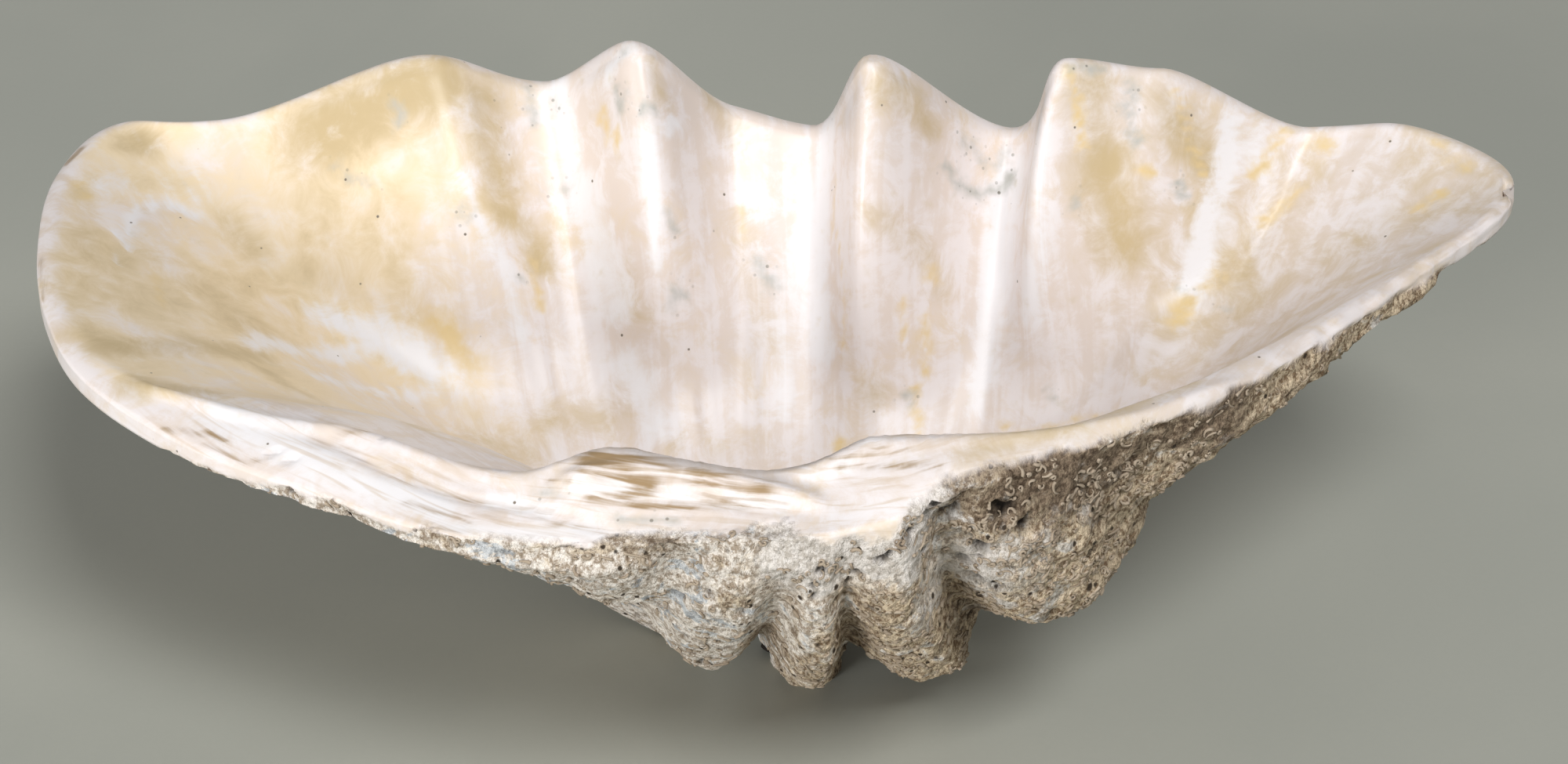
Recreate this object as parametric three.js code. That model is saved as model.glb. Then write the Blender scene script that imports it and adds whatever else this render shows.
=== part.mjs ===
// One valve of a large fossil clam, lying on its rounded outside with the hollow facing up.
// Sizes are in millimetres, +Z up. The hinge faces -Y and the wavy margin faces +Y.
import * as THREE from "three";

// Lowest point of the bowl in plan, and the point the folds fan out from
const BED = new THREE.Vector3(-8, -85, 0);
const FAN = new THREE.Vector3(19, -487, 0);

// Shell thickness at the bottom, and how much of the lowest rib crests is worn flat
const FLOOR_THICKNESS = 62;
const WORN_DEPTH = 12;

// How finely the surface is divided
const SEGMENTS = 165;
const OUTER_RINGS = 16;
const LIP_RINGS = 3;
const INNER_RINGS = 11;
const EDGE_DENSITY = 2.2;
const RING_BIAS = 1.15;
const RIM_SAMPLES = 4000;

// Stations round the rim, from the left end past the hinge to the right wing and back along the wavy margin
// Each: outer edge of the lip; lip width, rise, crown and edge height; outer waist; inner waist; foot share
const RIM = {
  "left end": station([-418, -18, 226], [16, 2, 5, 10], [-215, -60, 128], [-225, -55, 172], 0.42),
  "left shoulder": station([-402, -92, 224], [18, 2, 5, 10], [-180, -88, 140], [-195, -85, 178], 0.36),
  "left near": station([-371, -156, 220], [26, 3, 5, 10], [-150, -110, 145], [-165, -108, 182], 0.32),
  "plate left": station([-311, -212, 214], [64, 8, 4, 10], [-117, -128, 147], [-135, -128, 184], 0.28),
  "plate middle": station([-241, -250, 208], [46, 14, 2, 12], [-88, -142, 146], [-108, -146, 182], 0.28),
  "plate right": station([-174, -283, 205], [45, 14, 0, 14], [-80, -172, 120], [-85, -164, 172], 0.28),
  "hinge tooth": station([-110, -296, 205], [48, 33, -4, 16], [-74, -228, 92], [-62, -186, 155], 0.2),
  "hinge": station([-47, -297, 209], [42, 18, -3, 18], [-40, -272, 104], [-32, -200, 140], 0.16),
  "umbo": station([16, -300, 214], [46, 13, -2, 20], [15, -288, 94], [8, -208, 134], 0.15),
  "umbo right": station([62, -295, 221], [52, 18, 3, 22], [58, -284, 90], [42, -206, 132], 0.15),
  "right lip": station([98, -276, 228], [40, 10, 6, 24], [94, -268, 85], [75, -200, 132], 0.18),
  "dorsal middle": station([160, -241, 230], [24, 4, 4, 28], [150, -234, 72], [112, -186, 136], 0.28),
  "dorsal turn": station([208, -208, 231], [20, 3, 3, 30], [186, -192, 76], [150, -163, 144], 0.38),
  "dorsal right": station([269, -160, 232], [18, 2, 2, 28], [188, -136, 126], [185, -130, 156], 0.5),
  "wing near": station([357, -63, 236], [15, 0, 2, 12], [192, -72, 122], [212, -80, 164], 0.72),
  "wing tip": station([413, 6, 240], [13, 0, 2, 8], [206, -38, 118], [225, -42, 164], 0.78),
  "wing far": station([418, 60, 242], [13, 0, 2, 8], [222, -10, 115], [232, -12, 158], 0.78),
  "wing top": station([376, 108, 240], [18, 2, 4, 10], [232, 22, 112], [228, 14, 150], 0.72),
  "fifth groove": station([308, 124, 230], [18, 2, 4, 10], [222, 40, 112], [205, 30, 142], 0.7),
  "fourth groove": station([134, 125, 230], [18, 2, 4, 10], [112, 52, 115], [110, 32, 136], 0.68),
  "third groove": station([14, 129, 230], [18, 2, 4, 10], [12, 58, 115], [12, 36, 136], 0.7),
  "second groove": station([-140, 146, 250], [18, 2, 4, 10], [-112, 62, 126], [-112, 40, 148], 0.66),
  "first groove": station([-334, 130, 232], [18, 2, 4, 10], [-230, 38, 125], [-225, 20, 158], 0.58),
  "left corner": station([-398, 134, 228], [14, 2, 4, 10], [-256, 10, 124], [-250, -2, 162], 0.52),
  "left far": station([-422, 70, 226], [14, 2, 4, 10], [-244, -28, 125], [-245, -30, 168], 0.5),
};
const STATIONS = Object.values(RIM);

// Folds of the wavy margin, by fan angle in degrees: how far each ridge of the inside is pushed inward,
// lifted and leaned to the left at the rim, and its share of the ridge height further down
const FOLDS = [
  { angle: -70, push: 0, lift: 0, lean: 0, share: 0 },
  { angle: -30, push: 0, lift: 0, lean: 0, share: 0 },
  { angle: -21.4, push: 20, lift: 33, lean: 0, share: 0.6 },
  { angle: -14.3, push: 0, lift: 0, lean: 0, share: 0 },
  { angle: -10.3, push: 42, lift: 50, lean: 0, share: 1 },
  { angle: -4.4, push: 5, lift: 6, lean: 0, share: 0.2 },
  { angle: -0.2, push: 0, lift: 0, lean: 0, share: 0 },
  { angle: 4.2, push: 48, lift: 71, lean: 8, share: 1 },
  { angle: 10.8, push: 0, lift: 0, lean: 0, share: 0 },
  { angle: 16.2, push: 52, lift: 67, lean: 8, share: 1 },
  { angle: 20.4, push: 40, lift: 54, lean: 4, share: 0.9 },
  { angle: 25.5, push: 0, lift: 0, lean: 0, share: 0 },
  { angle: 33, push: 8, lift: 0, lean: 0, share: 0.5 },
  { angle: 48, push: 0, lift: 0, lean: 0, share: 0 },
  { angle: 90, push: 0, lift: 0, lean: 0, share: 0 },
];

// Ribs of the outside, by fan angle: share 0 is a rib crest, share 1 the full depth of the groove beside it
const RIBS = [
  { angle: -75, share: 0 },
  { angle: -50, share: 0.3 },
  { angle: -32, share: 0 },
  { angle: -21, share: 0.7 },
  { angle: -13, share: 0 },
  { angle: -6, share: 1 },
  { angle: -0.4, share: 0 },
  { angle: 4.2, share: 1 },
  { angle: 11.4, share: 0 },
  { angle: 18, share: 1 },
  { angle: 25.5, share: 0 },
  { angle: 31.5, share: 0.7 },
  { angle: 38, share: 0.6 },
  { angle: 48, share: 0.75 },
  { angle: 62, share: 0.5 },
  { angle: 90, share: 0 },
];
const RIB_SHARPNESS = 1.9;

// Depth of the outer grooves and height of the inner ridges along the fan, -1 at the hinge to 1 at the margin
const GROOVE_DEPTH = [[-1, 0], [-0.85, 15], [-0.5, 27], [-0.2, 28], [0, 26], [0.3, 22], [0.6, 24], [1, 50]];
const RIDGE_HEIGHT = [[-1, 0], [-0.1, 0], [0.15, 3], [0.5, 11], [1, 36]];

const SHELL_COLOUR = 0xe6dac6;

function station(edge, lip, outer, inner, foot) {
  const [width, rise, crown, face] = lip;
  return { edge, width, rise, crown, face, outer, inner, foot };
}

function smooth(from, to, value) {
  const t = THREE.MathUtils.clamp((value - from) / (to - from), 0, 1);
  return t * t * (3 - 2 * t);
}

// Closed curve through one number of every station
function alongRim(position, pick) {
  const count = STATIONS.length;
  const index = Math.floor(position);
  const t = position - index;
  const value = (step) => pick(STATIONS[(index + step + count) % count]);
  const start = value(0);
  const end = value(1);
  const leave = (end - value(-1)) / 2;
  const arrive = (value(2) - start) / 2;
  const bend = leave + arrive - 2 * (end - start);
  return start + t * (leave + t * (3 * (end - start) - 2 * leave - arrive + t * bend));
}

function pointAlongRim(position, pick) {
  const axis = (k) => alongRim(position, (entry) => pick(entry)[k]);
  return new THREE.Vector3(axis(0), axis(1), axis(2));
}

// Value at a fan angle, eased between the listed angles
function atAngle(table, angle, pick) {
  let k = 0;
  while (k < table.length - 2 && table[k + 1].angle < angle) {
    k += 1;
  }
  const share = smooth(table[k].angle, table[k + 1].angle, angle);
  return THREE.MathUtils.lerp(pick(table[k]), pick(table[k + 1]), share);
}

// Value along a list of [place, value] pairs, straight between them
function atPlace(list, place) {
  let k = 0;
  while (k < list.length - 2 && list[k + 1][0] < place) {
    k += 1;
  }
  const [from, low] = list[k];
  const [to, high] = list[k + 1];
  const t = THREE.MathUtils.clamp((place - from) / (to - from), 0, 1);
  return THREE.MathUtils.lerp(low, high, t);
}

// All that the shape needs at one place round the rim
function rimAt(position) {
  const edge = pointAlongRim(position, (entry) => entry.edge);
  const outer = pointAlongRim(position, (entry) => entry.outer);
  const inner = pointAlongRim(position, (entry) => entry.inner);
  const number = (key) => alongRim(position, (entry) => entry[key]);
  const away = edge.clone().sub(outer).setZ(0).normalize();
  const brim = edge.clone().addScaledVector(away, -number("width"));
  brim.z += number("rise");
  const [crown, face, foot] = ["crown", "face", "foot"].map(number);
  return { edge, outer, inner, away, brim, crown, face, foot };
}

function profile(start, foot, waist, end, t) {
  const curve = new THREE.CubicBezierCurve3(start, foot, waist, end);
  return { point: curve.getPoint(t), tangent: curve.getTangent(t) };
}

function footPoint(waist, share, height) {
  const foot = BED.clone().lerp(waist, share);
  return foot.setZ(height);
}

// Plain surface before the folds: outside and inside run from the bottom (0) to the rim (1)
function plainOutside(rim, t) {
  const end = rim.edge.clone();
  end.z -= rim.face;
  return profile(BED, footPoint(rim.outer, rim.foot, 0), rim.outer, end, t);
}

function plainInside(rim, t) {
  const start = BED.clone().setZ(FLOOR_THICKNESS);
  const foot = footPoint(rim.inner, 0.3 * rim.foot + 0.48, FLOOR_THICKNESS);
  return profile(start, foot, rim.inner, rim.brim, t);
}

// The lip runs from its outer edge (0) to its inner edge (1)
function plainLip(rim, t) {
  const point = rim.edge.clone().lerp(rim.brim, t);
  point.z += rim.crown * 4 * t * (1 - t);
  return { point, tangent: rim.away };
}

// Bends a plain point into the folds
function folded({ point, tangent }, climb, table, depthList, sharpness) {
  const flat = Math.hypot(tangent.x, tangent.y) + 1e-9;
  const heading = new THREE.Vector3(tangent.x / flat, tangent.y / flat, 0);
  const ray = point.clone().sub(FAN).setZ(0);
  const angle = THREE.MathUtils.radToDeg(Math.atan2(ray.x, ray.y));
  const reach = climb * heading.dot(ray.normalize());
  const margin = smooth(0.45, 1, climb) * smooth(0, 0.5, reach);
  const share = atAngle(table, angle, (entry) => entry.share) ** sharpness;
  const swell = share * atPlace(depthList, reach) * (1 - margin);
  const push = atAngle(FOLDS, angle, (entry) => entry.push);
  const lift = atAngle(FOLDS, angle, (entry) => entry.lift);
  const lean = atAngle(FOLDS, angle, (entry) => entry.lean);
  const bent = point.clone().addScaledVector(heading, -swell * tangent.z - margin * push);
  bent.x -= margin * lean;
  bent.z += swell * flat + margin * lift;
  return bent;
}

function outsidePoint(position, t) {
  const bent = folded(plainOutside(rimAt(position), t), t, RIBS, GROOVE_DEPTH, RIB_SHARPNESS);
  bent.z = Math.max(bent.z - WORN_DEPTH * (1 - smooth(0, 0.8, t)), 0);
  return bent;
}

function insidePoint(position, t) {
  return folded(plainInside(rimAt(position), t), t, FOLDS, RIDGE_HEIGHT, 1);
}

function lipPoint(position, t) {
  return folded(plainLip(rimAt(position), t), 1, FOLDS, RIDGE_HEIGHT, 1);
}

// Places round the rim, closer together along the wavy margin and the hinge
function rimPlaces() {
  const places = [];
  const lengths = [0];
  let last = pointAlongRim(0, (entry) => entry.edge);
  for (let k = 1; k <= RIM_SAMPLES; k += 1) {
    const next = pointAlongRim((k * STATIONS.length) / RIM_SAMPLES, (entry) => entry.edge);
    const y = (last.y + next.y) / 2;
    const density = 1 + (EDGE_DENSITY - 1) * (smooth(20, 90, y) + smooth(-190, -250, y));
    lengths.push(lengths[k - 1] + density * last.distanceTo(next));
    last = next;
  }
  let k = 0;
  for (let s = 0; s < SEGMENTS; s += 1) {
    const target = (lengths[RIM_SAMPLES] * s) / SEGMENTS;
    while (lengths[k + 1] < target) {
      k += 1;
    }
    const part = (target - lengths[k]) / (lengths[k + 1] - lengths[k]);
    places.push(((k + part) * STATIONS.length) / RIM_SAMPLES);
  }
  return places;
}

// Rings from the bottom of the outside, over the lip, to the bottom of the inside
function rings() {
  const rows = [];
  const climb = (k, count) => 1 - (1 - k / count) ** RING_BIAS;
  for (let k = 1; k <= OUTER_RINGS; k += 1) {
    rows.push((position) => outsidePoint(position, climb(k, OUTER_RINGS)));
  }
  for (let k = 0; k <= LIP_RINGS; k += 1) {
    rows.push((position) => lipPoint(position, k / LIP_RINGS));
  }
  for (let k = INNER_RINGS - 1; k > 0; k -= 1) {
    rows.push((position) => insidePoint(position, climb(k, INNER_RINGS)));
  }
  return rows;
}

// Two triangles from four corners, cut along the shorter diagonal
function splitQuad(points, [a, b, c, d]) {
  const first = points[a].distanceTo(points[c]);
  const second = points[b].distanceTo(points[d]);
  return first <= second ? [a, b, c, a, c, d] : [a, b, d, b, c, d];
}

function shellGeometry() {
  const places = rimPlaces();
  const rows = rings();
  const points = [outsidePoint(0, 0)];
  rows.forEach((row) => points.push(...places.map(row)));
  points.push(insidePoint(0, 0));
  const faces = [];
  const corner = (row, column) => 1 + row * SEGMENTS + (column % SEGMENTS);
  const lastRow = rows.length - 1;
  const lastPoint = points.length - 1;
  for (let c = 0; c < SEGMENTS; c += 1) {
    faces.push(0, corner(0, c + 1), corner(0, c));
    for (let r = 0; r < lastRow; r += 1) {
      const quad = [corner(r, c), corner(r, c + 1), corner(r + 1, c + 1), corner(r + 1, c)];
      faces.push(...splitQuad(points, quad));
    }
    faces.push(lastPoint, corner(lastRow, c), corner(lastRow, c + 1));
  }
  const geometry = new THREE.BufferGeometry().setFromPoints(points);
  geometry.setIndex(faces);
  return geometry;
}

// Puts the middle of the footprint over the origin, with the worn crests on the ground
function centred(geometry) {
  geometry.computeBoundingBox();
  const middle = geometry.boundingBox.getCenter(new THREE.Vector3());
  geometry.translate(-middle.x, -middle.y, -geometry.boundingBox.min.z);
  geometry.computeVertexNormals();
  return geometry;
}

const material = new THREE.MeshStandardMaterial({ color: SHELL_COLOUR, roughness: 0.45, metalness: 0 });
const shell = new THREE.Mesh(centred(shellGeometry()), material);
shell.name = "shell";

const part = new THREE.Group();
part.add(shell);
export default part;
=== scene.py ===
# Dresses one valve of a large fossil clam: a finely divided shell, polished inside and rough, bored and
# crusted with worm tubes outside, on a plain floor under soft light. Sizes are in millimetres unless said.
import math

import bpy
import numpy as np
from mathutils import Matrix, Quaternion, Vector, noise
from mathutils.bvhtree import BVHTree


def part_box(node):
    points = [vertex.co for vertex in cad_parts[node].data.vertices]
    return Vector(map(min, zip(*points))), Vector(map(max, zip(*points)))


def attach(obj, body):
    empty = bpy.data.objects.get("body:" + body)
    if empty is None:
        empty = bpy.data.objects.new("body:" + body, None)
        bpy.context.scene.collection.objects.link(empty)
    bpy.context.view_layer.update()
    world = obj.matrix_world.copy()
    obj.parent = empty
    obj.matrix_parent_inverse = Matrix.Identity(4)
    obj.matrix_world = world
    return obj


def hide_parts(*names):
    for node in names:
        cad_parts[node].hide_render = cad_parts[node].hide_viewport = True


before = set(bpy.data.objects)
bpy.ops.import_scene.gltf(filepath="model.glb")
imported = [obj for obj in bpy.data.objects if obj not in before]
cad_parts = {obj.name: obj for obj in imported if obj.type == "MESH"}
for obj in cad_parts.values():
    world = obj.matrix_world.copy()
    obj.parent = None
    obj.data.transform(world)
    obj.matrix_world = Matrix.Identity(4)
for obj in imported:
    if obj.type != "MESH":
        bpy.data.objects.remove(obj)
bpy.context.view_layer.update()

MM = 0.001
RANDOM = np.random.default_rng(7)

# Camera, as the photograph sees the valve
CAMERA_PLACE = (3.8, -1914.9, 1280.0)
CAMERA_TARGET = (3.8, 77.0, 130.0)
CAMERA_LENS = 91.7

# Floor, broad soft lights as place, size and power, and an even fill, in metres and watts
FLOOR_SIZE = 8.0
KEY_LIGHT = ((2.5, -5.8, 8.5), 3.6, 690)
FRONT_LIGHT = ((-3.6, -5.2, 1.05), 1.8, 265)
BACK_LIGHT = ((1.0, 6.0, 0.8), 1.4, 110)
FILL_STRENGTH = 0.23

# Lowest point of the bowl in plan, the point the folds fan out from, and the arc of one degree of the fan
BED = np.array([-8.0, -85.0, 0.0])
FAN = np.array([19.0, -487.0])
FAN_ARC = 10.0

# Shell thickness at the bottom, how much of the lowest rib crests is worn flat, and the climb where that ends
FLOOR_THICKNESS = 62.0
WORN_DEPTH = 12.0
WEAR_END = 0.8

# Foot of the inner profile, as a factor on the station's foot share and an amount added to it
INNER_FOOT = (0.3, 0.48)

# How finely the surface is divided; the bias crowds the rings towards the rim, and the densities crowd the
# points along the hinge and along the wavy margin
RIM_SAMPLES = 6000
SEGMENTS = 540
OUTER_RINGS = 104
FACE_RINGS = 8
LIP_RINGS = 14
INNER_RINGS = 58
RING_BIAS = 1.15
NEAR_DENSITY = 2.4
FAR_DENSITY = 1.8

# Stations round the rim, from the left end past the hinge to the right wing and back along the wavy margin
# Each: outer edge of the lip; lip width, rise, crown and edge height; outer waist; inner waist; foot share
STATIONS = {
    "left end": ((-418, -18, 226), (16, 2, 2, 10), (-215, -60, 128), (-225, -55, 172), 0.42),
    "left shoulder": ((-402, -92, 224), (18, 2, 2, 10), (-180, -88, 140), (-195, -85, 178), 0.36),
    "left near": ((-371, -156, 220), (26, 3, 2, 10), (-150, -110, 145), (-165, -108, 182), 0.32),
    "plate left": ((-311, -212, 214), (64, 8, 4, 10), (-117, -128, 147), (-135, -128, 184), 0.28),
    "plate middle": ((-241, -250, 208), (46, 14, 2, 12), (-88, -142, 146), (-108, -146, 182), 0.28),
    "plate right": ((-174, -283, 205), (45, 14, 0, 14), (-80, -172, 120), (-85, -164, 172), 0.28),
    "hinge tooth": ((-110, -296, 205), (48, 33, -4, 16), (-74, -228, 92), (-62, -186, 155), 0.2),
    "hinge": ((-47, -297, 209), (42, 18, -3, 18), (-40, -272, 104), (-32, -200, 140), 0.16),
    "umbo": ((16, -300, 214), (46, 13, -2, 20), (15, -288, 94), (8, -208, 134), 0.15),
    "umbo right": ((62, -295, 221), (52, 18, 3, 22), (58, -284, 90), (42, -206, 132), 0.15),
    "right lip": ((98, -276, 228), (40, 10, 6, 24), (94, -268, 85), (75, -200, 132), 0.18),
    "dorsal middle": ((160, -241, 230), (24, 4, 4, 28), (150, -234, 72), (112, -186, 136), 0.28),
    "dorsal turn": ((208, -208, 231), (20, 3, 3, 30), (186, -192, 76), (150, -163, 144), 0.38),
    "dorsal right": ((269, -160, 232), (18, 2, 2, 28), (188, -136, 126), (185, -130, 156), 0.5),
    "wing near": ((357, -63, 236), (15, 0, 2, 12), (192, -72, 122), (212, -80, 164), 0.72),
    "wing tip": ((413, 6, 240), (13, 0, 2, 8), (206, -38, 118), (225, -42, 164), 0.78),
    "wing far": ((418, 60, 242), (13, 0, 2, 8), (222, -10, 115), (232, -12, 158), 0.78),
    "wing top": ((376, 108, 240), (18, 2, 4, 10), (232, 22, 112), (228, 14, 150), 0.72),
    "fifth groove": ((308, 124, 230), (18, 2, 4, 10), (222, 40, 112), (205, 30, 142), 0.7),
    "fourth groove": ((134, 125, 230), (18, 2, 4, 10), (112, 52, 115), (110, 32, 136), 0.68),
    "third groove": ((14, 129, 230), (18, 2, 4, 10), (12, 58, 115), (12, 36, 136), 0.7),
    "second groove": ((-140, 146, 250), (18, 2, 4, 10), (-112, 62, 126), (-112, 40, 148), 0.66),
    "first groove": ((-334, 130, 232), (18, 2, 4, 10), (-230, 38, 125), (-225, 20, 158), 0.58),
    "left corner": ((-398, 134, 228), (14, 2, 2, 10), (-256, 10, 124), (-250, -2, 162), 0.52),
    "left far": ((-422, 70, 226), (14, 2, 2, 10), (-244, -28, 125), (-245, -30, 168), 0.5),
}

# Folds of the wavy margin: fan angle in degrees, then push inward, lift and lean at the rim, and ridge share
FOLDS = (
    (-70, 0, 0, 0, 0),
    (-30, 0, 0, 0, 0),
    (-21.4, 20, 33, 0, 0.6),
    (-14.3, 0, 0, 0, 0),
    (-10.3, 42, 50, 0, 1),
    (-4.4, 5, 6, 0, 0.2),
    (-0.2, 0, 0, 0, 0),
    (4.2, 48, 71, 8, 1),
    (10.8, 0, 0, 0, 0),
    (16.2, 52, 67, 8, 1),
    (20.4, 40, 54, 4, 0.9),
    (25.5, 0, 0, 0, 0),
    (33, 8, 0, 0, 0.5),
    (48, 0, 0, 0, 0),
    (90, 0, 0, 0, 0),
)
# Climb from the bottom where the folds begin, and the reach along the fan where they are full
FOLD_START = 0.45
FOLD_REACH = 0.5

# Ribs of the outside: fan angle, then the share of the groove depth, 0 on a rib crest
RIBS = (
    (-75, 0), (-50, 0.3), (-32, 0), (-21, 0.7), (-13, 0), (-6, 1), (-0.4, 0), (4.2, 1),
    (11.4, 0), (18, 1), (25.5, 0), (31.5, 0.7), (38, 0.6), (48, 0.75), (62, 0.5), (90, 0),
)
RIB_SHARPNESS = 1.9

# Depth of the outer grooves and height of the inner ridges along the fan, -1 at the hinge to 1 at the margin
GROOVE_DEPTH = ((-1, 0), (-0.85, 15), (-0.5, 27), (-0.2, 28), (0, 26), (0.3, 22), (0.6, 24), (1, 50))
RIDGE_HEIGHT = ((-1, 0), (-0.1, 0), (0.15, 3), (0.5, 11), (1, 36))

# Where the rough outside begins: rim position in stations, then distance in from the outer edge of the lip
ROUGH_EDGE = (
    (0, -14), (2.5, -12), (3.3, -6), (4.4, -2), (5, 0), (5.8, 2), (6.5, 6), (7, 7), (7.45, 9), (8.2, -3),
    (8.8, -6), (9.2, 6), (9.6, 10), (10.2, 8), (11, 2), (13, -2), (14.2, -6), (15, -12), (18, -14), (25, -14),
)
# How unevenly the rough outside begins: rim position, then the swing
UNEVEN_EDGE = ((0, 2), (3, 3), (4.5, 6), (8, 11), (9, 11), (9.6, 4), (25, 2.5))

# How ragged the rough outside is: rim position, then share of the plain roughness
RAGGED = ((0, 0.5), (3, 0.6), (4.5, 1), (9, 1), (11.5, 1.8), (14, 2.2), (15.5, 0.8), (25, 0.5))

# Creases of the hinge plate: (rim position, distance in from the outer edge) points, half width and height
CREASES = {
    "ledge crest": (((2.1, 22), (2.4, 25), (3.57, 50), (4.28, 46), (4.95, 45), (5.5, 40)), 5, 3.6),
    "plate line": (((3.2, 46), (3.6, 38), (4.22, 29), (5.5, 25), (6.15, 14), (6.6, 6)), 2.5, -2.4),
    "tooth crest": (((5.5, 41), (6.2, 47), (6.7, 43), (7.33, 37), (7.95, 27), (8.3, 20)), 5, 5.5),
    "tooth face": (((5.5, 38), (6.2, 42), (6.9, 36), (7.6, 28), (8, 22)), 11, 3.5),
    "tooth base": (((5.4, 34), (6.12, 33), (6.87, 29), (7.45, 22), (8.1, 18)), 3, -2.6),
    "right crest": (((7.5, 40), (8, 44), (9, 50), (10.25, 27), (10.6, 20), (11.6, 8), (12.8, 3)), 5, 3),
}
# Stations over which a crease fades at its ends
CREASE_FADE = 0.4

# How far the layers of the hinge plate run outward from one station to the next
LAYER_SLANT = 9.5

# Zones along the rim, as the rim positions where each begins, is full, fades and ends
HINGE_ZONE = (2.2, 3, 10, 11.5)
UNDER_LIP_ZONE = (9.1, 9.7, 12.4, 13.4)
WORN_ZONE = (7.2, 8, 9.2, 10.2)
WORN_PATCH_ZONE = (9, 9.6, 10.4, 11.4)
CHIPPED_ZONE = (12.8, 13.4, 15.2, 15.6)

# Relief of the polished inside, as strokes seen from above: start, end, half width and height
SCARS = (
    (-368, 61, -374, 105, 5, -2.2),
    (-374, 105, -370, 135, 5, -2.4),
    (-370, 135, -354, 151, 5, -2.4),
    (-354, 151, -339, 148, 6, -1.8),
    (304, 189, 278, 146, 4, 1.4),
    (278, 146, 251, 115, 4, 1.4),
    (251, 115, 225, 85, 4, 1),
    (312, 184, 284, 141, 4, -1.2),
    (284, 141, 257, 110, 4, -1.2),
)

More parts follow.
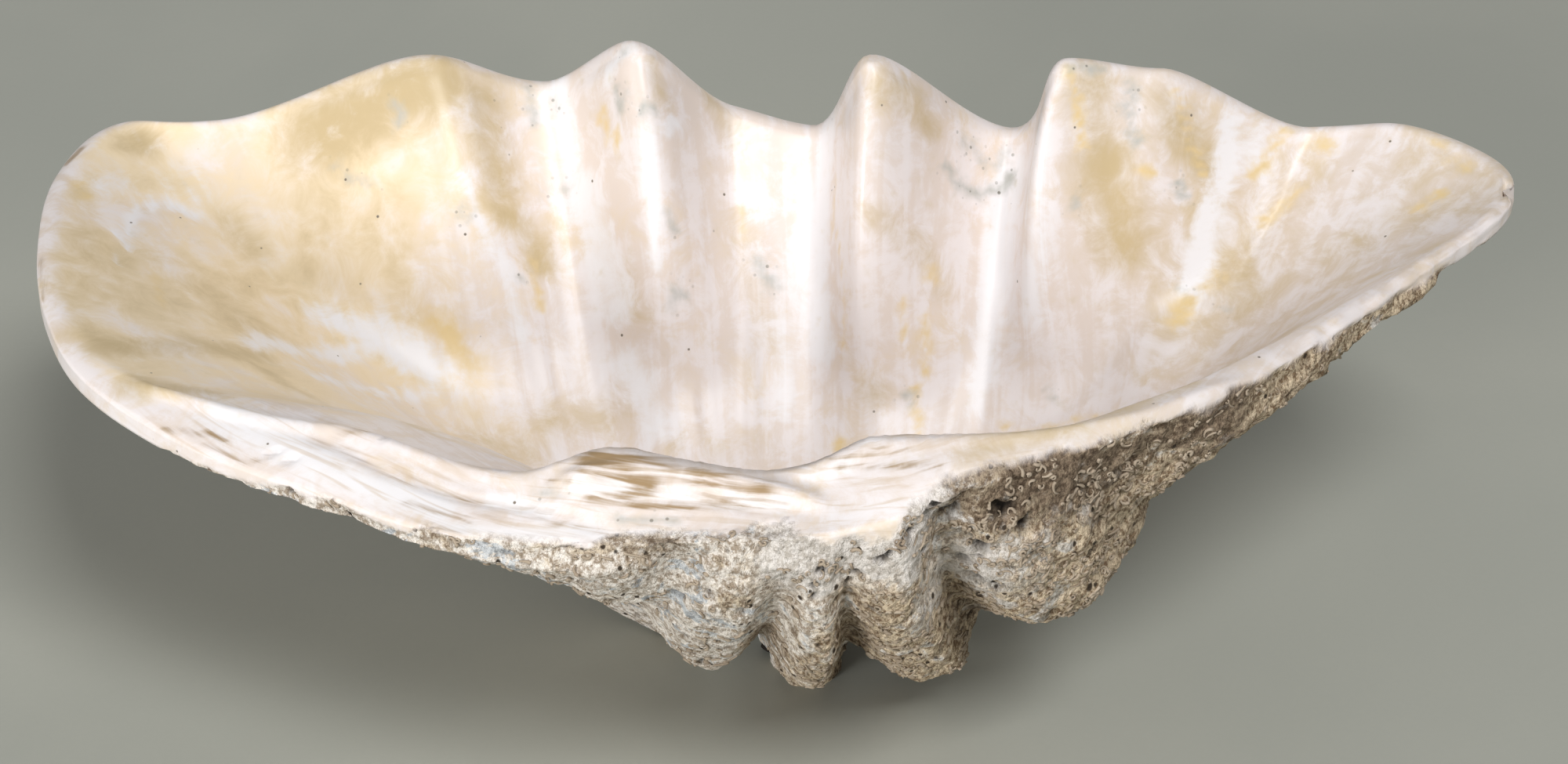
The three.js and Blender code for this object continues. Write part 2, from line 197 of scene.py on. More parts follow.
# Stains of the polished inside, as strokes seen from above: start, end, half width and strength
STAINS = {
    "tan": (
        (-385, 110, -370, -20, 45, 0.55), (-340, 40, -300, 100, 55, 0.4), (-401, 139, -387, 62, 22, 0.7),
        (-348, 88, -295, 42, 30, 0.6), (-362, -50, -290, 1, 16, 0.9), (-340, -89, -298, -93, 13, 0.9),
        (-376, 196, -372, 193, 15, 1), (-270, 180, -205, 178, 28, 1.3), (-174, 182, -160, 153, 18, 1),
        (-156, 146, -138, 138, 13, 0.9), (-270, 157, -256, 128, 34, 0.5), (-233, 137, -209, 113, 30, 0.5),
        (-72, 163, -66, 152, 8, 0.7), (-40, 190, -24, 182, 12, 0.8), (59, 131, 90, 150, 12, 0.75),
        (54, 105, 68, 109, 11, 0.75), (78, 116, 95, 121, 11, 0.75), (176, 140, 188, 129, 20, 1),
        (188, 129, 200, 116, 24, 1.2), (217, 151, 244, 151, 16, 0.85), (260, 110, 380, 112, 80, 0.6),
        (328, -8, 228, 62, 9, 0.5), (-132, 74, -96, 89, 22, 0.55), (-175, 45, -132, 57, 16, 0.55),
        (-283, -18, -178, -110, 8, 0.6), (-21, 152, -10, 113, 12, 0.5), (-89, 120, -78, 107, 12, 0.5),
        (57, 84, 59, 83, 10, 0.7), (-55, 67, -14, 61, 24, 0.35), (-316, 147, -301, 130, 20, 0.6),
        (95, -186, 150, -150, 14, 0.8), (150, -150, 215, -108, 10, 0.7), (40, -166, 95, -170, 8, 0.6),
    ),
    "yellow": (
        (-198, 104, -175, 88, 9, 1), (-103, 169, -93, 148, 5, 0.8), (168, 141, 173, 127, 5, 0.9),
        (230, 159, 247, 149, 5, 0.7), (208, 132, 218, 134, 5, 0.8), (277, 163, 298, 190, 5, 0.8),
        (230, 96, 237, 105, 7, 1), (258, 123, 244, 110, 5, 0.6), (318, 181, 325, 182, 7, 0.8),
        (301, 162, 283, 148, 5, 0.8), (367, 111, 378, 119, 5, 0.9), (79, 89, 82, 73, 4, 0.8),
        (85, 107, 86, 95, 5, 0.8), (72, 102, 73, 97, 4, 0.7), (32, 147, 39, 101, 4, 0.6),
        (36, 71, 36, 67, 4, 1), (88, 116, 92, 118, 5, 0.7), (-403, 140, -398, 127, 7, 0.7),
        (-353, 60, -343, 22, 5, 0.6), (380, 156, 399, 130, 6, 0.6), (-143, 134, -137, 117, 4, 0.7),
        (-21, 157, -20, 147, 4, 0.6), (131, 75, 192, 59, 4, 0.6),
    ),
    "white_and_highlight": (
        (-289, 22, -236, 92, 10, 0.9), (-232, 97, -197, 84, 14, 1), (-268, 103, -223, 101, 10, 0.9),
        (-258, 9, -203, 71, 7, 0.7), (-291, -117, -226, -161, 14, 1), (-226, -161, -171, -191, 11, 1),
        (-170, -206, -36, -216, 6, 1), (-147, -188, -115, -198, 6, 0.9), (-99, -191, 4, -199, 5, 0.8),
        (-129, 207, -117, 172, 11, 1), (-117, 172, -92, 118, 14, 1),
        # Painted highlight: the first stroke here is a thin bright line down the crest of a fold
        (-74, 134, -69, 109, 5, 1), (-12, 178, 13, 183, 10, 0.4), (-15, 169, 8, 143, 16, 0.5),
        (4, 142, 4, 87, 8, 0.7), (31, 182, 22, 150, 14, 1), (22, 150, 26, 112, 14, 1),
        (138, 172, 127, 118, 15, 1), (123, 110, 115, 86, 9, 0.8),
        (149, 140, 146, 103, 11, 0.8), (263, 172, 239, 111, 10, 1),
        (278, 178, 281, 171, 10, 0.8), (-87, 100, -71, 73, 13, 0.9), (-160, 129, -148, 104, 6, 0.8),
        (-182, 148, -164, 125, 5, 0.7), (8, -213, 63, -213, 12, 0.4), (16, -184, 36, -185, 6, 0.7),
        (44, -174, 76, -170, 5, 0.6), (-368, 61, -374, 105, 3, 0.7), (-374, 105, -370, 135, 3, 0.8),
        (-370, 135, -354, 151, 3, 0.8), (-354, 151, -339, 148, 4, 0.7), (-388, 150, -345, 165, 14, 0.4),
        (-59, 153, -64, 142, 5, 0.9), (-96, 171, -86, 163, 6, 0.8),
    ),
    "grey": (
        (-89, 166, -86, 163, 5, 0.8), (-93, 159, -89, 152, 5, 0.9), (-79, 143, -70, 144, 4, 1),
        (-146, 205, -143, 194, 6, 0.8), (-132, 169, -125, 168, 7, 0.6), (-60, 105, -53, 109, 6, 0.9),
        (-12, 140, -3, 130, 6, 0.9), (97, 148, 137, 170, 5, 1), (106, 163, 135, 181, 6, 0.7),
        (201, 150, 206, 138, 6, 0.9), (-183, 137, -180, 132, 6, 0.7), (169, 143, 185, 148, 5, 0.9),
        (-62, 119, -59, 118, 5, 0.8), (74, 86, 79, 84, 4, 0.8), (-220, 172, -218, 167, 5, 0.9),
        (233, 138, 234, 138, 5, 1), (-151, 125, -149, 124, 4, 0.9), (-261, 164, -233, 150, 5, 0.6),
        (-135, 204, -125, 198, 5, 0.6), (170, 117, 172, 117, 5, 0.7), (233, 113, 235, 110, 4, 0.7),
        (255, 102, 262, 105, 4, 0.6), (156, 86, 160, 82, 5, 0.6), (-79, -204, -52, -205, 4, 0.8),
        (-118, -190, -108, -192, 5, 0.7),
    ),
    "brown": (
        (-416, 161, -407, 181, 4, 1), (-320, -121, -285, -134, 3, 0.8), (-301, -139, -267, -152, 3, 0.7),
        (-95, -182, -66, -190, 9, 1.2), (-90, -178, -76, -181, 7, 1), (-76, -181, -54, -183, 8, 1),
        (-44, -183, -10, -195, 8, 1.1), (-93, -195, -44, -201, 4, 0.9), (-52, -196, 4, -199, 4, 0.7),
        (-188, -184, -155, -201, 3, 0.7), (-155, -195, -107, -205, 3, 0.5), (-171, -205, -91, -216, 3, 0.5),
        (-227, -139, -211, -137, 3, 0.6), (32, -186, 83, -192, 3, 0.7), (28, -178, 67, -181, 3, 0.5),
        (-116, -183, -91, -190, 3, 0.6), (-410, 44, -402, 6, 3, 0.7),
    ),
}

# Points that each stroke follows the surface through
STROKE_STEPS = 7

# Large single holes: place, radius and depth
HOLES = (
    (-260, -146, 217, 3, 4), (-251, -150, 216, 3, 4), (-202, -145, 222, 2.5, 3), (415, 100, 242, 7, 8),
    (88, -194, 206, 9, 7), (117, -189, 208, 9, 8), (104, -182, 182, 8, 7), (114, -163, 147, 9, 8),
    (102, -163, 153, 8, 6), (128, -183, 193, 8, 6), (233, 140, 212, 2.5, 3),
)
BORING_COUNT = 420
BORING_RADIUS = (2.2, 5.0)
BORING_DEPTH_SHARE = 1.4

# Worm tubes on the rough outside
TUBE_COUNT = 2000
TUBE_RADIUS = (0.6, 1.2)
TUBE_LENGTH = (4, 10)
TUBE_STEPS = 7
TUBE_SIDES = 5
TUBE_CURL = 5.0

# Colours on screen, 0 to 255; low and high are the hollows and tops of the grain
COLOURS = {
    "cream": (229, 216, 207),
    "pearl": (237, 229, 227),
    "warm cream": (241, 221, 187),
    "tan": (203, 182, 143),
    # White patches of the inside, and a painted highlight down one fold crest
    "white_and_highlight": (241, 238, 239),
    "yellow": (230, 204, 152),
    "grey": (186, 186, 180),
    # Painted shade of the pinholes in the grey spots
    "pore_shade": (120, 116, 106),
    "thin layer": (204, 182, 154),
    # Brown of the hinge streaks, also used for painted shade along the sunken creases of the hinge plate
    "horn brown and crease shade": (160, 135, 102),
    # Painted shade of scattered pinholes
    "pinhole_shade": (128, 118, 106),
    "pale crust, low": (170, 153, 134),
    "pale crust, high": (252, 244, 234),
    "brown crust, low": (128, 104, 78),
    "brown crust, high": (234, 214, 184),
    "blue crust, low": (150, 159, 167),
    "blue crust, high": (206, 213, 219),
    # Darker under the right lip and down the rib grooves: partly dirt, partly painted shade
    "dirt, low": (88, 72, 57),
    "dirt, high": (150, 131, 110),
    "worn crust, low": (194, 185, 174),
    "worn crust, high": (240, 233, 226),
    # Painted shade in the small pits of the crust
    "pit_shade": (66, 54, 42),
    # Painted shade inside the boring holes
    "hole_shade": (34, 27, 22),
    "dark tube": (126, 107, 87),
    "pale tube": (196, 182, 162),
    "floor": (166, 168, 159),
    "pale floor": (175, 176, 166),
    "dust": (150, 151, 141),
}

# Beak the shell grew from, and the length of one growth step
BEAK = np.array([24.0, -213.0, 200.0])
STEP_LENGTH = 15.0

# How far the crust is sunk, so that its lumps stay near the outline of the solid
CRUST_SUNK = 1.5

# Noises of the surface: size of the features, octaves, height, and the place in the noise where each starts
NOISES = {
    "edge": (20, 3, 1, (1, 2, 3)),
    "broad lumps": (42, 2, 2.4, (3, 1, 4)),
    "small lumps": (12, 3, 1.9, (5, 9, 2)),
    "growth": (70, 2, 14, (4, 4, 8)),
    "flutes": (9, 2, 0.5, (2, 7, 1)),
    "chips": (9, 3, 2, (8, 3, 5)),
    "boring groups": (60, 2, 1, (9, 4, 2)),
    "boring rims": (6, 2, 0.6, (6, 6, 1)),
    "tube groups": (30, 2, 2, (4, 4, 8)),
}


def smooth(low, high, value):
    t = np.clip((value - low) / (high - low), 0, 1)
    return t * t * (3 - 2 * t)


# Every number of every station, on a closed curve through them, at the given rim positions
def along_rim(places):
    rows = STATIONS.values()
    table = np.array([(*edge, *lip, *outer, *inner, foot) for edge, lip, outer, inner, foot in rows])
    count = len(table)
    index = np.floor(places).astype(int)
    t = (places - index)[:, None]
    before, start, end, after = (table[(index + step) % count] for step in (-1, 0, 1, 2))
    leave = (end - before) / 2
    arrive = (after - start) / 2
    bend = leave + arrive - 2 * (end - start)
    return start + t * (leave + t * (3 * (end - start) - 2 * leave - arrive + t * bend))


# Value at a fan angle, eased between the listed angles
def at_angle(table, angle, column):
    angles = np.array([row[0] for row in table], float)
    values = np.array([row[column] for row in table], float)
    k = np.clip(np.searchsorted(angles, angle) - 1, 0, len(angles) - 2)
    return values[k] + (values[k + 1] - values[k]) * smooth(angles[k], angles[k + 1], angle)


# Share of a zone at each place, 1 where it is full
def zone(limits, place):
    start, full, fade, end = limits
    return smooth(start, full, place) * smooth(end, fade, place)


# Value along a list of (place, value) pairs, straight between them
def at_place(table, place):
    return np.interp(place, [row[0] for row in table], [row[1] for row in table])


def bezier(start, foot, waist, end, t):
    point = (1 - t) ** 3 * start + 3 * t * (1 - t) ** 2 * foot + 3 * t * t * (1 - t) * waist + t**3 * end
    tangent = (1 - t) ** 2 * (foot - start) + 2 * t * (1 - t) * (waist - foot) + t * t * (end - waist)
    return point, tangent / (np.linalg.norm(tangent, axis=1, keepdims=True) + 1e-9)


# Plain profile before the folds: outside and inside run from the bottom (0) to the rim (1),
# the lip from its outer edge (0) to its inner edge (1)
def plain_profile(side, rim, t):
    edge, outer, inner = rim[:, 0:3], rim[:, 7:10], rim[:, 10:13]
    width, rise, crown, face = (rim[:, k : k + 1] for k in range(3, 7))
    foot_share = rim[:, 13:14]
    up = np.array([0.0, 0.0, 1.0])
    flat = np.array([1.0, 1.0, 0.0])
    away = (edge - outer) * flat
    away /= np.linalg.norm(away, axis=1, keepdims=True)
    brim = edge - width * away + rise * up
    if side == "outside":
        foot = BED + foot_share * (outer - BED) * flat
        return bezier(BED, foot, outer, edge - face * up, t)
    if side == "inside":
        start = BED + FLOOR_THICKNESS * up
        factor, added = INNER_FOOT
        foot = start + (factor * foot_share + added) * (inner - BED) * flat
        return bezier(start, foot, inner, brim, t)
    return edge + (brim - edge) * t + crown * 4 * t * (1 - t) * up, away


# Points of one ring, bent into the folds, and their fan coordinates: arc, then distance from the fan point
def ring_points(side, places, t):
    point, tangent = plain_profile(side, along_rim(places), t)
    level = np.linalg.norm(tangent[:, :2], axis=1) + 1e-9
    heading = tangent[:, :2] / level[:, None]
    ray = point[:, :2] - FAN
    distance = np.linalg.norm(ray, axis=1)
    angle = np.degrees(np.arctan2(ray[:, 0], ray[:, 1]))
    climb = 1.0 if side == "lip" else t
    reach = climb * (heading * ray).sum(1) / distance
    margin = smooth(FOLD_START, 1, climb) * smooth(0, FOLD_REACH, reach)
    if side == "outside":
        swell = at_angle(RIBS, angle, 1) ** RIB_SHARPNESS * at_place(GROOVE_DEPTH, reach) * (1 - margin)
    else:
        swell = at_angle(FOLDS, angle, 4) * at_place(RIDGE_HEIGHT, reach) * (1 - margin)
    push, lift, lean = (margin * at_angle(FOLDS, angle, column) for column in (1, 2, 3))
    bent = point.copy()
    bent[:, :2] -= heading * (swell * tangent[:, 2] + push)[:, None]
    bent[:, 0] -= lean
    bent[:, 2] += swell * level + lift
    if side == "outside":
        bent[:, 2] = np.maximum(bent[:, 2] - WORN_DEPTH * (1 - smooth(0, WEAR_END, t)), 0)
    return bent, np.stack([angle * FAN_ARC, distance, bent[:, 2]], 1)


# Rim positions, closer together along the hinge and the wavy margin
def rim_places():
    fine = np.linspace(0, len(STATIONS), RIM_SAMPLES + 1)
    edge = along_rim(fine)[:, :3]
    middle = (edge[1:, 1] + edge[:-1, 1]) / 2
    density = 1 + (NEAR_DENSITY - 1) * smooth(-120, -220, middle) + (FAR_DENSITY - 1) * smooth(20, 90, middle)
    length = np.concatenate([[0], np.cumsum(np.linalg.norm(np.diff(edge, axis=0), axis=1) * density)])
    return np.interp(np.arange(SEGMENTS) * length[-1] / SEGMENTS, length, fine)


# Rings from the bottom of the outside, up the face of the edge and over the lip, to the bottom of the inside
def ring_rows(places):
    def climb(k, count):
        return 1 - (1 - k / count) ** RING_BIAS

    rows = [ring_points("outside", places, climb(k, OUTER_RINGS)) for k in range(1, OUTER_RINGS + 1)]
    lip = [ring_points("lip", places, k / LIP_RINGS) for k in range(LIP_RINGS + 1)]
    below, above = rows[-1], lip[0]
    for share in np.linspace(0, 1, FACE_RINGS, endpoint=False)[1:]:
        rows.append(tuple(low + share * (high - low) for low, high in zip(below, above)))
    inside = [ring_points("inside", places, climb(k, INNER_RINGS)) for k in range(INNER_RINGS - 1, 0, -1)]
    return rows + lip + inside


# The plain surface: points, fan coordinates, rim position, and distance in from the outer edge of the lip
def shell_arrays():
    places = rim_places()
    rows = ring_rows(places)
    points = np.array([row[0] for row in rows])
    steps = np.linalg.norm(np.diff(points, axis=0), axis=2)
    inward = np.concatenate([np.zeros((1, SEGMENTS)), np.cumsum(steps, axis=0)])
    inward -= inward[OUTER_RINGS + FACE_RINGS - 1]
    spots = np.tile(places, len(rows))
    bottom, top = ring_points("outside", places[:1], 1e-6), ring_points("inside", places[:1], 1e-6)
    points, fan = (np.concatenate([bottom[k], *(row[k] for row in rows), top[k]]) for k in (0, 1))
    ends = (inward.min(), inward.max())
    return points, fan, np.pad(spots, 1), np.concatenate([ends[:1], inward.ravel(), ends[1:]])


def shell_faces():
    count = OUTER_RINGS + FACE_RINGS + LIP_RINGS + INNER_RINGS - 1
    column = np.arange(SEGMENTS)
    beside = (column + 1) % SEGMENTS
    last = 1 + count * SEGMENTS
    top = last - SEGMENTS
    faces = [(0, 1 + b, 1 + a) for a, b in zip(column, beside)]
    for ring in range(count - 1):
        low = 1 + ring * SEGMENTS
        high = low + SEGMENTS
        faces += [(low + a, low + b, high + b, high + a) for a, b in zip(column, beside)]
    faces += [(last, top + a, top + b) for a, b in zip(column, beside)]
    return [tuple(int(k) for k in face) for face in faces]


def vertex_normals(points, faces):
    mesh = bpy.data.meshes.new("plain")
    mesh.from_pydata(points.tolist(), [], faces)
    normals = np.zeros(len(points) * 3)
    mesh.vertices.foreach_get("normal", normals)
    bpy.data.meshes.remove(mesh)
    return normals.reshape(-1, 3)


# One of the noises at every point, either side of nothing
def grain(points, name):
    size, octaves, height, place = NOISES[name]
    start = Vector(place)
    spots = [Vector(point) / size + start for point in points.tolist()]
    return height * np.array([noise.fractal(spot, 1.0, 2.0, octaves) for spot in spots])


# Distance of every point from the straight line between two places
def line_distance(points, start, end):
    along = end - start
    share = np.clip((points - start) @ along / max(along @ along, 1e-9), 0, 1)
    return np.linalg.norm(points - start - share[:, None] * along, axis=1)


# How much strokes seen from above, laid on the given surface points, cover each point
def stroke_cover(strokes, points):
    cover = np.zeros(len(points))
    for x0, y0, x1, y1, width, strength in strokes:
        share = np.linspace(0, 1, STROKE_STEPS)
        plan = zip(x0 + (x1 - x0) * share, y0 + (y1 - y0) * share)
        path = [points[np.argmin(np.hypot(points[:, 0] - x, points[:, 1] - y))] for x, y in plan]
        distance = np.min([line_distance(points, a, b) for a, b in zip(path, path[1:])], axis=0)
        mark = strength * np.exp(-((distance / width) ** 2))
        cover = np.where(np.abs(mark) > np.abs(cover), mark, cover)
    return cover


# Height of the hinge plate's creases
def crease_height(spot, inward):
    height = np.zeros(len(spot))
    for line, width, rise in CREASES.values():
        start, end = line[0][0], line[-1][0]
        ends = smooth(start, start + CREASE_FADE, spot) * smooth(end, end - CREASE_FADE, spot)
        height += rise * ends * np.exp(-(((inward - at_place(line, spot)) / width) ** 2))
    return height


# Growth steps of the outside, risen slowly and dropped fast with the distance from the beak
def growth_steps(points):
    distance = np.linalg.norm(points - BEAK, axis=1) + grain(points, "growth")
    phase = distance / STEP_LENGTH % 1
    return phase - smooth(0.8, 1, phase)


# Round holes left by boring animals, as depth and the painted shade inside them
def boring_depth(points, rough):
    crowd = np.clip(0.5 + grain(points, "boring groups"), 0.05, 1) * (rough > 0.95)
    middles = RANDOM.choice(len(points), BORING_COUNT, replace=False, p=crowd / crowd.sum())
    radii = RANDOM.uniform(*BORING_RADIUS, BORING_COUNT)
    holes = [(*points[k], radius, BORING_DEPTH_SHARE * radius) for k, radius in zip(middles, radii)]
    uneven = 1 + grain(points, "boring rims")
    depth = np.zeros(len(points))
    dark = np.zeros(len(points))
    for x, y, z, radius, deep in (*holes, *HOLES):
        inside = np.clip(1 - uneven * np.linalg.norm(points - (x, y, z), axis=1) / radius, 0, 1)
        depth = np.maximum(depth, deep * smooth(0, 0.7, inside))
        # Painted shade inside the hole, darkest at its middle
        dark = np.maximum(dark, smooth(0.15, 0.6, inside))
    return depth, dark


def link_piece(name, mesh, material):
    mesh.shade_smooth()
    mesh.materials.append(material)
    piece = bpy.data.objects.new(name, mesh)
    bpy.context.collection.objects.link(piece)
    return piece


def store(mesh, name, values):
    kind, field = ("FLOAT", "value") if values.ndim == 1 else ("FLOAT_VECTOR", "vector")
    layer = mesh.attributes.new(name, kind, "POINT")
    layer.data.foreach_set(field, values.astype(np.float32).ravel())


# How rough the surface is, from 0 on the polished inside to 1 on the crusted outside
def crust_share(points, spot, inward):
    swing = at_place(UNEVEN_EDGE, spot) * grain(points, "edge")
    return smooth(2.5, -2.5, inward - at_place(ROUGH_EDGE, spot) - swing)


# Height of the crust: lumps, and growth steps that are higher on the far side
def crust_height(points, spot):
    lumps = grain(points, "broad lumps") + grain(points, "small lumps")
    ledges = (0.8 + 1.4 * smooth(0, 100, points[:, 1])) * growth_steps(points)
    return at_place(RAGGED, spot) * lumps + ledges - CRUST_SUNK


# Height of the polished side: creases, scars, faint flutes down the fan, and chips along the right wing
def polished_height(points, fan, spot, inward):
    polished = inward > 0
    relief = crease_height(spot, inward)
    relief[polished] += stroke_cover(SCARS, points[polished])
    flutes = grain(fan * (1, 0.12, 0), "flutes") * smooth(0, 30, inward)
    chips = zone(CHIPPED_ZONE, spot) * np.exp(-(((inward - 3) / 9) ** 2)) * grain(points, "chips")
    return relief + flutes + chips


# Places of the stains, the dirt and painted shade, the wear, and the coordinates that streaks and layers
# follow
def surface_marks(points, fan, spot, inward):
    marks = {"fan": fan * MM}
    marks["plate"] = np.stack([spot, (inward + LAYER_SLANT * spot) * MM, 0 * spot], 1)
    marks["hinge"] = zone(HINGE_ZONE, spot) * smooth(-12, -4, inward) * smooth(75, 50, inward)
    marks["brown_side"] = 0.25 + 0.5 * smooth(-60, 120, points[:, 0])
    left_wing = smooth(-90, -260, points[:, 0]) * smooth(-150, -70, points[:, 1])
    marks["warm"] = 0.8 * left_wing * smooth(2, 20, inward)
    # Darker under the right lip and down the rib grooves of the outside: partly dirt, partly painted shade
    under_lip = zone(UNDER_LIP_ZONE, spot) * smooth(-70, -20, inward)
    marks["dirt_and_shade"] = np.maximum(0.7 * under_lip, 0.4 * at_angle(RIBS, fan[:, 0] / FAN_ARC, 1))
    by_beak = zone(WORN_ZONE, spot) * smooth(-75, -5, inward)
    below_lip = zone(WORN_PATCH_ZONE, spot) * smooth(60, 20, np.abs(inward + 75))
    marks["worn"] = np.maximum(by_beak, 0.6 * below_lip)
    polished = inward > 0
    for name, strokes in STAINS.items():
        marks[name] = np.zeros(len(points))
        marks[name][polished] = stroke_cover(strokes, points[polished])
    # Painted shade: brown darkening along the sunken creases of the hinge plate, on top of the brown stains
    marks["brown"] = np.maximum(marks["brown"], 0.6 * smooth(0, -2, crease_height(spot, inward)))
    return marks


# The whole valve, as arrays: points, faces and what the material needs to know at each point
def shell_model():
    points, fan, spot, inward = shell_arrays()
    faces = shell_faces()
    low, high = (np.array(corner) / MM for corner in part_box("shell"))
    points += ((low + high) / 2 - (points.max(0) + points.min(0)) / 2) * (1, 1, 0)
    normals = vertex_normals(points, faces)
    rough = crust_share(points, spot, inward)
    depth, dark = boring_depth(points, rough)
    outside = rough * crust_height(points, spot)
    inside = (1 - rough) * polished_height(points, fan, spot, inward)
    marks = {"rough": rough, "dark": dark, **surface_marks(points, fan, spot, inward)}
    height = outside + inside - depth
    points = np.clip(points + normals * height[:, None], low, high)
    return points, faces, marks


def shell_piece(points, faces, marks, material):
    mesh = bpy.data.meshes.new("shell_surface")
    mesh.from_pydata((points * MM).tolist(), [], faces)
    for name, values in marks.items():
        store(mesh, name, values)
    return link_piece("shell_surface", mesh, material)


# One curled tube lying on the surface near a point, as rings of points
def tube_rings(surface, start, normal):
    side = Vector(RANDOM.normal(size=3)).cross(normal).normalized()
    length = RANDOM.uniform(*TUBE_LENGTH)
    thickness = RANDOM.uniform(*TUBE_RADIUS)
    curl = RANDOM.uniform(-TUBE_CURL, TUBE_CURL)
    step = length / TUBE_STEPS
    place = Vector(start)
    circles = []
    for k in range(TUBE_STEPS + 1):
        touch, upward, _, _ = surface.find_nearest(place)
        middle = touch + 0.5 * thickness * upward
        across = upward.cross(side).normalized()
        radius = thickness * (0.75 + 0.25 * math.cos(math.pi * k / TUBE_STEPS))
        turns = [2 * math.pi * s / TUBE_SIDES for s in range(TUBE_SIDES)]
        circles.append([middle + radius * (math.cos(a) * across + math.sin(a) * upward) for a in turns])
        side.rotate(Quaternion(upward, curl / TUBE_STEPS * (1 + k / TUBE_STEPS)))
        side = (side - side.dot(upward) * upward).normalized()
        place = touch + step * side
    return circles


# All the worm tubes as one mesh, densest on the near right of the outside
def tube_piece(points, faces, rough, material):
    surface = BVHTree.FromPolygons(points.tolist(), faces)
    low, high = (np.array(corner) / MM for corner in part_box("shell"))
    crowd = 0.3 + smooth(-40, 120, points[:, 0]) * smooth(-20, -120, points[:, 1])
    crowd *= np.clip(0.5 + grain(points, "tube groups"), 0.02, 1)
    crowd *= (rough > 0.98) * (points[:, 2] > 30)
    starts = RANDOM.choice(len(points), TUBE_COUNT, replace=False, p=crowd / crowd.sum())
    corners, skins = [], []
    for start in points[starts]:
        _, normal, _, _ = surface.find_nearest(Vector(start))
        base = len(corners)
        circles = tube_rings(surface, start, normal)
        corners += [corner for circle in circles for corner in circle]
        for k in range(TUBE_STEPS):
            for s in range(TUBE_SIDES):
                a, b = base + k * TUBE_SIDES + s, base + k * TUBE_SIDES + (s + 1) % TUBE_SIDES
                skins.append((a, b, b + TUBE_SIDES, a + TUBE_SIDES))
        skins.append(tuple(reversed(range(base, base + TUBE_SIDES))))
        skins.append(tuple(range(base + TUBE_STEPS * TUBE_SIDES, base + (TUBE_STEPS + 1) * TUBE_SIDES)))
    mesh = bpy.data.meshes.new("worm_tubes")
    mesh.from_pydata((np.clip(np.array(corners), low, high) * MM).tolist(), [], skins)
    return link_piece("worm_tubes", mesh, material)


# A named screen colour as the linear colour a material takes
def colour(name):
    return (*(((value / 255 + 0.055) / 1.055) ** 2.4 for value in COLOURS[name]), 1.0)


# Builds a material from nodes; an input may be a plain value or another node's output
class Paint:
    def __init__(self, name):
        self.material = bpy.data.materials.new(name)
        self.material.use_nodes = True
        self.tree = self.material.node_tree
        self.surface = self.tree.nodes["Principled BSDF"]
        self.place = self.node("TexCoord", {})["Object"]

    def plug(self, socket, value):
        if isinstance(value, bpy.types.NodeSocket):
            self.tree.links.new(value, socket)
        else:
            socket.default_value = value

    def node(self, kind, inputs, **settings):
        made = self.tree.nodes.new("ShaderNode" + kind)
        for name, value in settings.items():
            setattr(made, name, value)
        for key, value in inputs.items():
            self.plug(made.inputs[key], value)
        return made.outputs

    def finish(self, inputs):
        for key, value in inputs.items():
            self.plug(self.surface.inputs[key], value)
        return self.material

    def mark(self, name, output="Fac"):
        return self.node("Attribute", {}, attribute_name=name)[output]

    def stretched(self, vector, scales):
        return self.node("VectorMath", {0: vector, 1: scales}, operation="MULTIPLY")["Vector"]

    def cloud(self, vector, scale, detail=3.0, distortion=0.0, harshness=0.5):
        inputs = {"Vector": vector, "Scale": scale, "Detail": detail, "Roughness": harshness}
        return self.node("TexNoise", {**inputs, "Distortion": distortion})["Fac"]

    # A noise value, 0 to 1, turned into a swing either side of nothing
    def swing(self, value, amount):
        return self.math("MULTIPLY", self.math("SUBTRACT", value, 0.5), amount)

    # Round specks: one in every cell of the given count per metre, kept only in a share of the cells
    def specks(self, vector, scale, size, share):
        cells = self.node("TexVoronoi", {"Vector": vector, "Scale": scale})
        kept = self.ramp(cells["Color"], 1 - share, 1.02 - share)
        return self.math("MULTIPLY", kept, self.ramp(cells["Distance"], size, 0.5 * size))

    def ramp(self, value, low, high):
        inputs = {"Value": value, "From Min": low, "From Max": high}
        return self.node("MapRange", inputs, interpolation_type="SMOOTHSTEP")["Result"]

    def math(self, operation, first, second):
        return self.node("Math", {0: first, 1: second}, operation=operation)["Value"]

    def mix(self, share, first, second):
        return self.node("Mix", {0: share, 6: first, 7: second}, data_type="RGBA")[2]

    # Mixes in a colour where a mark, roughened by noise, is strong enough
    def stain(self, under, mark, uneven, low, high, tint):
        return self.mix(self.ramp(self.math("ADD", mark, uneven), low, high), under, tint)


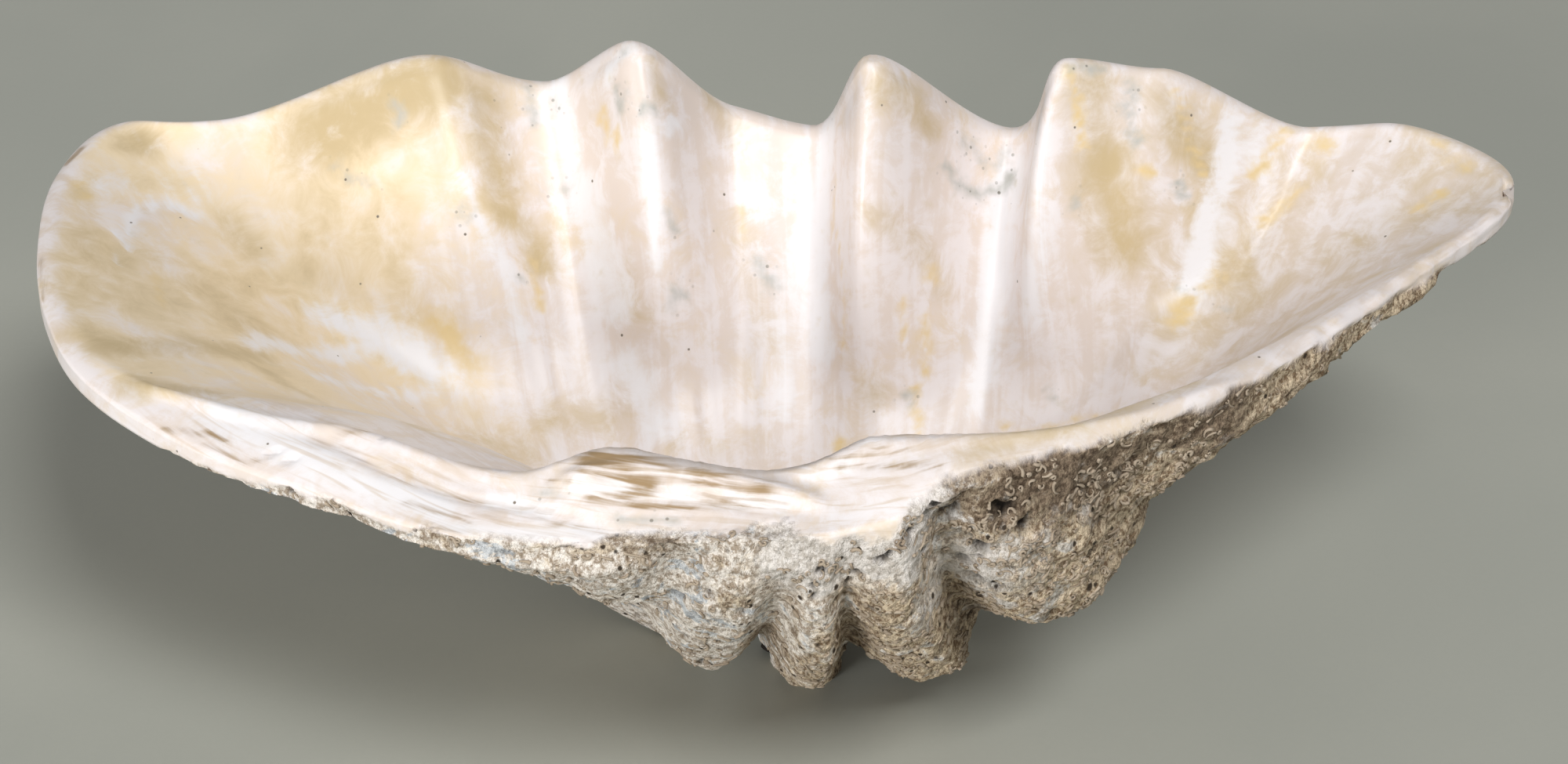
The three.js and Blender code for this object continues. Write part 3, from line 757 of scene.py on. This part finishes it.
def polished_colour(paint):
    wisps = paint.cloud(paint.stretched(paint.mark("fan", "Vector"), (90, 9, 1)), 1, 4, 0.8)
    clouds = paint.cloud(paint.place, 13, 3, 0.5, 0.6)
    fine = paint.cloud(paint.place, 45, 6, 0.5, 0.68)
    uneven = paint.math("SUBTRACT", paint.swing(clouds, 1.6), paint.swing(fine, 1.5))
    hinge = paint.mark("hinge")
    fanned = paint.math("MULTIPLY", paint.swing(wisps, 1.0), paint.math("SUBTRACT", 1.0, hinge))
    milky = paint.math("ADD", paint.swing(fine, 1.4), fanned)
    shade = paint.mix(paint.ramp(milky, -0.16, 0.16), colour("cream"), colour("pearl"))
    shade = paint.stain(shade, paint.mark("warm"), uneven, 0.0, 1.1, colour("warm cream"))
    shade = paint.stain(shade, paint.mark("tan"), uneven, 0.1, 1.35, colour("tan"))
    # White patches, and a painted highlight along one fold crest
    shade = paint.stain(shade, paint.mark("white_and_highlight"), milky, 0.1, 1.0, colour("white_and_highlight"))
    smudge = paint.swing(paint.cloud(paint.place, 110, 5), 1.6)
    shade = paint.stain(shade, paint.mark("yellow"), smudge, 0.1, 1.2, colour("yellow"))
    grey = paint.mark("grey")
    shade = paint.stain(shade, grey, smudge, 0.1, 1.5, colour("grey"))
    # Painted shade of pinholes within the grey spots
    pores = paint.math("MULTIPLY", paint.specks(paint.place, 230, 0.3, 0.4), grey)
    shade = paint.mix(pores, shade, colour("pore_shade"))
    layers = paint.cloud(paint.stretched(paint.mark("plate", "Vector"), (1.3, 250, 1)), 1, 4, 0.5)
    banded = paint.math("MULTIPLY", hinge, paint.ramp(layers, 0.5, 0.72))
    shade = paint.mix(paint.math("MULTIPLY", banded, 0.5), shade, colour("thin layer"))
    # Brown streaks of the hinge, with painted shade along its sunken creases
    streaks_and_crease_shade = paint.math("MULTIPLY", paint.mark("brown"), paint.ramp(layers, 0.25, 0.75))
    shade = paint.mix(paint.ramp(streaks_and_crease_shade, 0.0, 0.85), shade, colour("horn brown and crease shade"))
    # Painted shade of scattered pinholes over the polished inside
    return paint.mix(paint.specks(paint.place, 100, 0.11, 0.22), shade, colour("pinhole_shade"))


def crust_colour(paint, drawn, pits):
    patches = paint.cloud(paint.place, 15, 4, 0.4, 0.65)
    blotches = paint.cloud(paint.place, 45, 5, 0.8, 0.72)
    grains = paint.cloud(drawn, 300, 4, 0.0, 0.8)
    uneven = paint.math("ADD", paint.swing(patches, 2.0), paint.swing(blotches, 1.8))
    tone = paint.ramp(grains, 0.38, 0.6)
    pale = paint.mix(tone, colour("pale crust, low"), colour("pale crust, high"))
    brown = paint.mix(tone, colour("brown crust, low"), colour("brown crust, high"))
    brown_side = paint.mark("brown_side")
    shade = paint.stain(pale, brown_side, uneven, 0.3, 0.65, brown)
    blue = paint.math("SUBTRACT", paint.ramp(uneven, -0.12, -0.3), brown_side)
    shade = paint.mix(blue, shade, paint.mix(tone, colour("blue crust, low"), colour("blue crust, high")))
    # Painted shade and dirt: darker under the right lip and in the rib grooves
    dirt_and_shade = paint.mix(tone, colour("dirt, low"), colour("dirt, high"))
    shade = paint.stain(shade, paint.mark("dirt_and_shade"), uneven, 0.15, 0.8, dirt_and_shade)
    worn = paint.mix(tone, colour("worn crust, low"), colour("worn crust, high"))
    shade = paint.stain(shade, paint.mark("worn"), uneven, 0.25, 0.7, worn)
    # Painted shade in the small pits of the crust
    shade = paint.mix(pits, shade, colour("pit_shade"))
    # Painted shade inside the boring holes
    return paint.mix(paint.mark("dark"), shade, colour("hole_shade"))


def shell_material():
    paint = Paint("shell")
    rough = paint.mark("rough")
    drawn = paint.stretched(paint.place, (1, 0.7, 0.7))
    pits = paint.math("MAXIMUM", paint.specks(drawn, 230, 0.34, 0.22), paint.specks(drawn, 90, 0.24, 0.18))
    shade = paint.mix(rough, polished_colour(paint), crust_colour(paint, drawn, pits))
    gloss = paint.math("ADD", paint.math("MULTIPLY", rough, 0.5), 0.33)
    coarse = paint.cloud(drawn, 330, 4, 0.0, 0.75)
    pebbles = paint.node("TexVoronoi", {"Vector": drawn, "Scale": 260})["Distance"]
    crumbs = paint.math("SUBTRACT", coarse, paint.math("MULTIPLY", paint.math("ADD", pebbles, pits), 0.5))
    height = paint.math("MULTIPLY", crumbs, rough)
    bump = paint.node("Bump", {"Strength": 1.0, "Distance": 0.003, "Height": height})["Normal"]
    return paint.finish({"Base Color": shade, "Roughness": gloss, "Normal": bump, "Specular IOR Level": 0.3})


def tube_material():
    paint = Paint("worm_tubes")
    shade = paint.mix(paint.cloud(paint.place, 60, 4), colour("dark tube"), colour("pale tube"))
    return paint.finish({"Base Color": shade, "Roughness": 0.8})


def floor_material():
    paint = Paint("floor")
    patches = paint.cloud(paint.place, 2.2, 5, 0.4)
    dust = paint.cloud(paint.place, 260, 3)
    shade = paint.mix(paint.ramp(patches, 0.3, 0.7), colour("floor"), colour("pale floor"))
    shade = paint.mix(paint.math("MULTIPLY", dust, 0.15), shade, colour("dust"))
    return paint.finish({"Base Color": shade, "Roughness": 0.6})


def camera():
    data = bpy.data.cameras.new("camera")
    data.lens = CAMERA_LENS
    data.clip_end = 20
    eye = bpy.data.objects.new("camera", data)
    eye.location = Vector(CAMERA_PLACE) * MM
    aim = Vector(CAMERA_TARGET) - Vector(CAMERA_PLACE)
    eye.rotation_euler = aim.to_track_quat("-Z", "Y").to_euler()
    bpy.context.collection.objects.link(eye)
    bpy.context.scene.camera = eye


def floor():
    mesh = bpy.data.meshes.new("floor")
    corners = [(x * FLOOR_SIZE, y * FLOOR_SIZE, 0) for x, y in ((-1, -1), (1, -1), (1, 1), (-1, 1))]
    mesh.from_pydata(corners, [], [(0, 1, 2, 3)])
    link_piece("floor", mesh, floor_material())


def area_light(name, place, size, power):
    data = bpy.data.lights.new(name, "AREA")
    data.size = size
    data.energy = power
    lamp = bpy.data.objects.new(name, data)
    lamp.location = place
    lamp.rotation_euler = (-Vector(place)).to_track_quat("-Z", "Y").to_euler()
    bpy.context.collection.objects.link(lamp)
    return lamp


# The back light only lifts the far outside out of the dark, without glints on the rim and floor
def light():
    area_light("key", *KEY_LIGHT)
    area_light("front", *FRONT_LIGHT)
    area_light("back", *BACK_LIGHT).visible_glossy = False
    world = bpy.data.worlds.new("studio")
    world.use_nodes = True
    background = world.node_tree.nodes["Background"]
    background.inputs["Color"].default_value = (1, 1, 1, 1)
    background.inputs["Strength"].default_value = FILL_STRENGTH
    bpy.context.scene.world = world


bpy.context.scene.view_settings.view_transform = "Standard"
camera()
floor()
light()
points, faces, marks = shell_model()
shell = shell_piece(points, faces, marks, shell_material())
tubes = tube_piece(points, faces, marks["rough"], tube_material())
for piece in (shell, tubes):
    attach(piece, "root")
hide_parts("shell")
